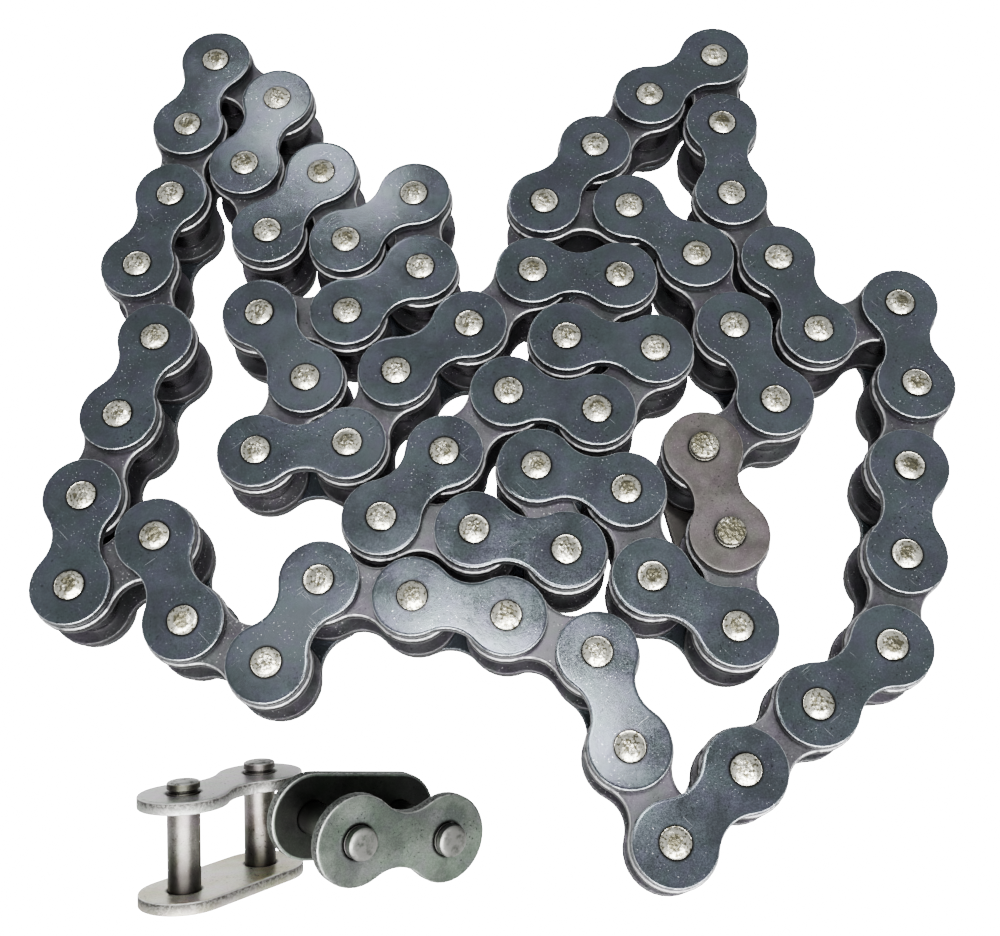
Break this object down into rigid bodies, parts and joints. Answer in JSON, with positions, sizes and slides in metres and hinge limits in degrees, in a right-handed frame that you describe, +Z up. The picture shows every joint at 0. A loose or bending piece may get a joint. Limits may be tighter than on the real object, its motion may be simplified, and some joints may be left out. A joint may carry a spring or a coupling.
{
  "type": "drive chain",
  "caption": "Roller chain for a light motorcycle, laid on its side in loose folds and closed by a connecting link, with two spare connecting links.",
  "frame": {"origin": "middle of the laid chain and its spares in plan, on the surface that they lie on", "axes": "+Z up, along the chain's pins; +Y from the spares towards the folded top corners; +X to the right of that"},
  "size_m": [0.128, 0.1336, 0.0247],
  "materials": {
    "dark_steel": "blued, semi-gloss",
    "inner_steel": "brown-grey, worn",
    "brown_steel": "brown-grey, satin",
    "roller_steel": "dark, glossy",
    "pin_ends": "pale, riveted",
    "bright_steel": "satin nickel",
    "grey_steel": "satin"
  },
  "bodies": {
    "chain_middle": {"connecting_link_pin_plate": "brown_steel", "link_14_inner": "inner_steel", "link_44_inner": "inner_steel", "link_55_outer": "dark_steel", "links_15_16": "dark_steel", "links_17_18": "dark_steel", "links_19_20": "dark_steel", "links_21_22": "dark_steel", "links_23_24": "dark_steel", "links_25_26": "dark_steel", "links_27_28": "dark_steel", "links_29_30": "dark_steel", "links_31_32": "dark_steel", "links_33_34": "dark_steel", "links_35_36": "dark_steel", "links_37_38": "dark_steel", "links_39_40": "dark_steel", "links_41_42": "dark_steel", "links_45_46": "dark_steel", "links_47_48": "dark_steel", "links_49_50": "dark_steel", "links_51_52": "dark_steel", "links_53_54": "dark_steel"},
    "link_13": {"link_13_outer": "dark_steel"},
    "link_12": {"link_12_inner": "inner_steel"},
    "link_11": {"link_11_outer": "dark_steel"},
    "link_10": {"link_10_inner": "inner_steel"},
    "link_09": {"link_09_outer": "dark_steel"},
    "link_08": {"link_08_inner": "inner_steel"},
    "link_07": {"link_07_outer": "dark_steel"},
    "link_06": {"link_06_inner": "inner_steel"},
    "link_05": {"link_05_outer": "dark_steel"},
    "link_04": {"link_04_inner": "inner_steel", "link_03_outer": "dark_steel"},
    "link_02": {"link_02_inner": "inner_steel"},
    "link_01": {"link_01_outer": "dark_steel"},
    "link_56": {"link_56_inner": "inner_steel"},
    "link_57": {"link_57_outer": "dark_steel"},
    "link_58": {"link_58_inner": "inner_steel"},
    "link_59": {"link_59_outer": "dark_steel"},
    "link_60": {"link_60_inner": "inner_steel"},
    "link_61": {"link_61_lower_outer_plate": "dark_steel", "link_61_pin_a": "pin_ends", "link_61_pin_b": "pin_ends", "link_61_upper_outer_plate": "dark_steel"},
    "link_62": {"link_62_bush_a": "roller_steel", "link_62_bush_b": "roller_steel", "link_62_lower_inner_plate": "inner_steel", "link_62_upper_inner_plate": "inner_steel"},
    "link_63": {"link_63_outer": "dark_steel", "link_64_inner": "inner_steel", "link_65_outer": "dark_steel"},
    "link_66": {"link_66_inner": "inner_steel"},
    "roller_62_a": {"link_62_roller_a": "roller_steel"},
    "roller_62_b": {"link_62_roller_b": "roller_steel"},
    "connecting_cover": {"connecting_link_cover_plate": "brown_steel"},
    "spare_left": {"spare_left_pin_plate": "bright_steel"},
    "spare_left_cover": {"spare_left_cover_plate": "bright_steel"},
    "spare_right": {"spare_right_pin_plate": "grey_steel"},
    "spare_right_cover": {"spare_right_cover_plate": "grey_steel"}
  },
  "joints": [
    {"name": "swing_13", "type": "hinge", "parent": "chain_middle", "child": "link_13", "pos_m": [-0.0421, 0.06109, 0], "axis": [0, 0, -1], "range_deg": [0, 80]},
    {"name": "swing_12", "type": "hinge", "parent": "link_13", "child": "link_12", "pos_m": [-0.04603, 0.04901, 0], "axis": [0, 0, 1], "range_deg": [-14, 0]},
    {"name": "swing_11", "type": "hinge", "parent": "link_12", "child": "link_11", "pos_m": [-0.04801, 0.03646, 0], "axis": [0, 0, -1], "range_deg": [0, 15]},
    {"name": "swing_10", "type": "hinge", "parent": "link_11", "child": "link_10", "pos_m": [-0.05236, 0.02453, 0], "axis": [0, 0, 1], "range_deg": [-10, 0]},
    {"name": "swing_09", "type": "hinge", "parent": "link_10", "child": "link_09", "pos_m": [-0.04907, 0.01226, 0], "axis": [0, 0, -1], "range_deg": [0, 12]},
    {"name": "swing_08", "type": "hinge", "parent": "link_09", "child": "link_08", "pos_m": [-0.05362, 0.00041, 0], "axis": [0, 0, 1], "range_deg": [-11, 0]},
    {"name": "swing_07", "type": "hinge", "parent": "link_08", "child": "link_07", "pos_m": [-0.05776, -0.0116, 0], "axis": [0, 0, -1], "range_deg": [0, 12]},
    {"name": "swing_06", "type": "hinge", "parent": "link_07", "child": "link_06", "pos_m": [-0.05842, -0.02429, 0], "axis": [0, 0, 1], "range_deg": [-8, 0]},
    {"name": "swing_05", "type": "hinge", "parent": "link_06", "child": "link_05", "pos_m": [-0.04742, -0.01793, 0], "axis": [0, 0, -1], "range_deg": [0, 16]},
    {"name": "swing_04", "type": "hinge", "parent": "link_05", "child": "link_04", "pos_m": [-0.04308, -0.02987, 0], "axis": [0, 0, 1], "range_deg": [-20, 0]},
    {"name": "swing_02", "type": "hinge", "parent": "link_04", "child": "link_02", "pos_m": [-0.02524, -0.02526, 0], "axis": [0, 0, 1], "range_deg": [-30, 0]},
    {"name": "swing_01", "type": "hinge", "parent": "link_02", "child": "link_01", "pos_m": [-0.01287, -0.02811, 0], "axis": [0, 0, -1], "range_deg": [0, 80]},
    {"name": "swing_56", "type": "hinge", "parent": "chain_middle", "child": "link_56", "pos_m": [0.04588, 0.00816, 0], "axis": [0, 0, -1], "range_deg": [-10, 0]},
    {"name": "swing_57", "type": "hinge", "parent": "link_56", "child": "link_57", "pos_m": [0.05808, 0.01166, 0], "axis": [0, 0, 1], "range_deg": [0, 80]},
    {"name": "swing_58", "type": "hinge", "parent": "link_57", "child": "link_58", "pos_m": [0.05831, -0.00104, 0], "axis": [0, 0, -1], "range_deg": [-80, 0]},
    {"name": "swing_59", "type": "hinge", "parent": "link_58", "child": "link_59", "pos_m": [0.05523, -0.01336, 0], "axis": [0, 0, 1], "range_deg": [0, 80]},
    {"name": "swing_60", "type": "hinge", "parent": "link_59", "child": "link_60", "pos_m": [0.05281, -0.02583, 0], "axis": [0, 0, -1], "range_deg": [-80, 0]},
    {"name": "swing_61", "type": "hinge", "parent": "link_60", "child": "link_61", "pos_m": [0.04889, -0.0379, 0], "axis": [0, 0, 1], "range_deg": [0, 80]},
    {"name": "swing_62", "type": "hinge", "parent": "link_61", "child": "link_62", "pos_m": [0.03836, -0.04501, 0], "axis": [0, 0, -1], "range_deg": [-22, 0]},
    {"name": "swing_63", "type": "hinge", "parent": "link_62", "child": "link_63", "pos_m": [0.02821, -0.05265, 0], "axis": [0, 0, 1], "range_deg": [0, 22]},
    {"name": "swing_66", "type": "hinge", "parent": "link_63", "child": "link_66", "pos_m": [0.01088, -0.03683, 0], "axis": [0, 0, -1], "range_deg": [-60, 0]},
    {"name": "roller_62_a_spin", "type": "hinge", "parent": "link_62", "child": "roller_62_a", "pos_m": [0.03836, -0.04501, 0], "axis": [0, 0, 1], "continuous": true},
    {"name": "roller_62_b_spin", "type": "hinge", "parent": "link_62", "child": "roller_62_b", "pos_m": [0.02821, -0.05265, 0], "axis": [0, 0, 1], "continuous": true},
    {"name": "connecting_cover_slide", "type": "slide", "parent": "chain_middle", "child": "connecting_cover", "axis": [0, 0, 1], "range_m": [0, 0.0035]},
    {"name": "spare_left_take_away", "type": "slide", "parent": "chain_middle", "child": "spare_left", "axis": [-1, 0, 0], "range_m": [0, 0.02]},
    {"name": "spare_left_cover_slide", "type": "slide", "parent": "spare_left", "child": "spare_left_cover", "axis": [0.0326, 0.9383, 0.3443], "range_m": [0, 0.0035]},
    {"name": "spare_right_take_away", "type": "slide", "parent": "chain_middle", "child": "spare_right", "axis": [0, 0, 1], "range_m": [0, 0.025]},
    {"name": "spare_right_cover_slide", "type": "slide", "parent": "spare_right", "child": "spare_right_cover", "axis": [0.5897, -0.3442, 0.7306], "range_m": [0, 0.0035]}
  ]
}
